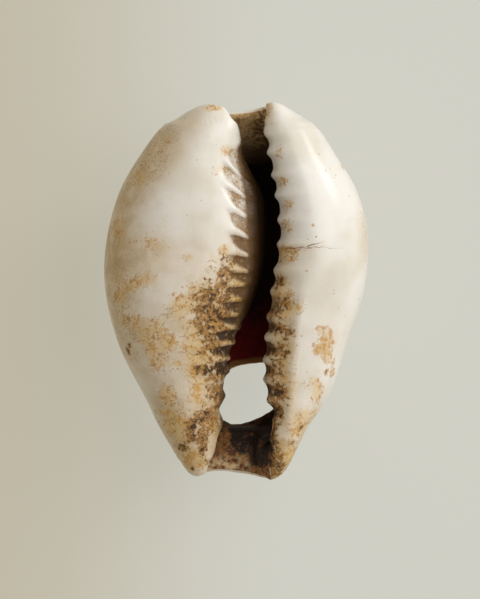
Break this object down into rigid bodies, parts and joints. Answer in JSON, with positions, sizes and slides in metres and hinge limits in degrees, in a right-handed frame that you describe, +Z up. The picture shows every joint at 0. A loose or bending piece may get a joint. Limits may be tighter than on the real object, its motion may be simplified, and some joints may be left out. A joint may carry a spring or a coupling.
{
  "type": "cowrie shell",
  "caption": "Pierced cowrie shell lying on its back, with a long toothed aperture between rolled lips and a knocked hole through the back near the anterior end.",
  "frame": {"origin": "under the middle of the shell's bounding box, on the flat worn spot of the back that it rests on", "axes": "+Z up out of the aperture, +Y to the posterior (spire) end, +X to the outer lip"},
  "size_m": [0.0174, 0.0252, 0.0122],
  "materials": {
    "shell_enamel": "worn glossy cream enamel, soil stained brown between the teeth and in the canals"
  },
  "bodies": {
    "root": {"shell": "shell_enamel"}
  },
  "joints": []
}
